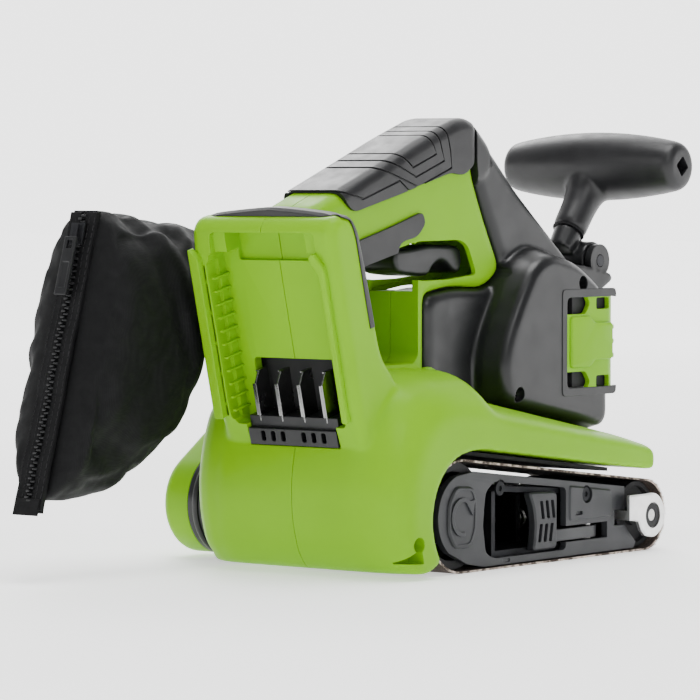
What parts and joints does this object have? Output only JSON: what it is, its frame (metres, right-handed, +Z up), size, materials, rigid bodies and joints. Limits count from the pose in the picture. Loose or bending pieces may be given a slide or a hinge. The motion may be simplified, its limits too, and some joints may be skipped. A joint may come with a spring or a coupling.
{
  "type": "handheld belt sander",
  "caption": "Cordless handheld belt sander: abrasive belt round a rear drum and a smaller front roller, D-handle with trigger, adjustable front handle, battery slide and dust bag.",
  "frame": {"origin": "centre of the flat sole of the sanding belt, midway between the contact lines of drum and front roller", "axes": "+X forward towards the small front roller, +Y towards the tool's left, where the drive case and bag are, +Z up from the sole"},
  "size_m": [0.3701, 0.1753, 0.2188],
  "materials": {
    "lime_plastic": "lime green moulded nylon, fine matte grain",
    "black_plastic": "black moulded nylon, fine matte grain",
    "soft_grip": "soft black overmoulded rubber",
    "dark_grey_plastic": "dark grey glass-filled nylon, satin",
    "steel": "zinc-plated steel",
    "cast_alloy": "die-cast aluminium",
    "rubber_drum": "rubber-covered, ribbed",
    "roller_alloy": "turned aluminium, dark",
    "windings": "laminated stator with copper windings",
    "abrasive_cloth": "dark cloth-backed abrasive",
    "circuit_board": "green circuit board",
    "bag_cloth": "black woven nylon cloth"
  },
  "bodies": {
    "housing": {"base_frame": "cast_alloy", "controller_board": "circuit_board", "cover_screw": "steel", "dock_bumper": "soft_grip", "drive_case": "black_plastic", "drive_cover": "lime_plastic", "drive_timing_belt": "soft_grip", "drum_bearing_left": "steel", "drum_bearing_right": "steel", "dust_port": "black_plastic", "grip_lower_overmold": "soft_grip", "grip_upper_overmold": "soft_grip", "housing_left": "lime_plastic", "housing_right": "lime_plastic", "housing_screw_neck": "steel", "housing_screw_rear": "steel", "knuckle_pin": "steel", "lever_pin": "steel", "motor_bearing_left": "steel", "motor_bearing_right": "steel", "motor_case_left": "black_plastic", "motor_case_right": "black_plastic", "motor_screw_high": "steel", "motor_screw_low": "steel", "motor_stator": "windings", "plate_screw_1": "steel", "plate_screw_2": "steel", "platen_pad": "abrasive_cloth", "platen_plate": "steel", "sanding_belt": "abrasive_cloth", "side_frame_plate": "dark_grey_plastic", "tension_spring": "steel", "terminal_blade_1": "steel", "terminal_blade_2": "steel", "terminal_blade_3": "steel", "terminal_blade_4": "steel", "terminal_block": "black_plastic", "trigger_switch": "black_plastic", "vent_cover": "lime_plastic"},
    "trigger": {"trigger": "black_plastic"},
    "motor": {"motor_rotor": "steel", "cooling_fan": "black_plastic", "motor_pulley": "steel"},
    "drum": {"drive_drum": "rubber_drum", "drum_axle": "steel", "drum_pulley": "black_plastic"},
    "carriage": {"roller_carriage": "steel", "roller_bracket": "steel", "roller_axle": "steel"},
    "roller": {"front_roller": "roller_alloy"},
    "lever": {"tension_lever": "dark_grey_plastic"},
    "knob": {"tracking_knob": "black_plastic"},
    "knuckle": {"handle_knuckle": "black_plastic", "handle_stud": "steel"},
    "handle": {"front_handle": "soft_grip"},
    "bag": {"dust_bag": "bag_cloth", "bag_collar": "black_plastic", "zipper_tape": "bag_cloth"},
    "zip_slider": {"zipper_slider": "black_plastic"},
    "zip_pull": {"zipper_pull": "black_plastic"}
  },
  "joints": [
    {"name": "trigger_pull", "type": "hinge", "parent": "housing", "child": "trigger", "pos_m": [-0.022, 0.015, 0.157], "axis": [0, 1, 0], "range_deg": [0, 6], "stiffness_Nm_per_rad": 1, "springref_deg": -5.73},
    {"name": "drum_spin", "type": "hinge", "parent": "housing", "child": "drum", "pos_m": [-0.0782, 0, 0.02735], "axis": [0, 1, 0], "continuous": true},
    {"name": "motor_spin", "type": "hinge", "parent": "housing", "child": "motor", "pos_m": [0.014, 0.015, 0.102], "axis": [0, 1, 0], "continuous": true},
    {"name": "lever_swing", "type": "hinge", "parent": "housing", "child": "lever", "pos_m": [0.038, -0.03, 0.0125], "axis": [0, 0, 1], "range_deg": [0, 70]},
    {"name": "carriage_slide", "type": "slide", "parent": "housing", "child": "carriage", "axis": [-1, 0, 0], "range_m": [0, 0.004], "deforming": ["tension_spring"]},
    {"name": "roller_spin", "type": "hinge", "parent": "carriage", "child": "roller", "pos_m": [0.07825, 0, 0.01818], "axis": [0, 1, 0], "continuous": true},
    {"name": "tracking_turn", "type": "hinge", "parent": "housing", "child": "knob", "pos_m": [0.052, 0.045, 0.024], "axis": [0, 1, 0], "range_deg": [-180, 180]},
    {"name": "handle_tilt", "type": "hinge", "parent": "housing", "child": "knuckle", "pos_m": [0.091, 0.015, 0.1465], "axis": [0, 1, 0], "range_deg": [-30, 45]},
    {"name": "handle_turn", "type": "hinge", "parent": "knuckle", "child": "handle", "pos_m": [0.0858, 0.015, 0.1615], "axis": [0.6131, 0, 0.79], "range_deg": [-180, 180]},
    {"name": "bag_pull", "type": "slide", "parent": "housing", "child": "bag", "axis": [-1, 0, 0], "range_m": [0, 0.03]},
    {"name": "zipper_slide", "type": "slide", "parent": "bag", "child": "zip_slider", "axis": [-0.2836, 0, -0.9589], "range_m": [0, 0.115]},
    {"name": "zipper_pull_swing", "type": "hinge", "parent": "zip_slider", "child": "zip_pull", "pos_m": [-0.20776, 0.095, 0.1609], "axis": [0, 1, 0], "range_deg": [0, 90]}
  ],
  "couplings": [
    {"joint": "motor_spin", "follows": "drum_spin", "ratio": 3},
    {"joint": "roller_spin", "follows": "drum_spin", "ratio": 1.5338},
    {"joint": "lever_swing", "follows": "carriage_slide", "rad_per_m": 305.43}
  ]
}
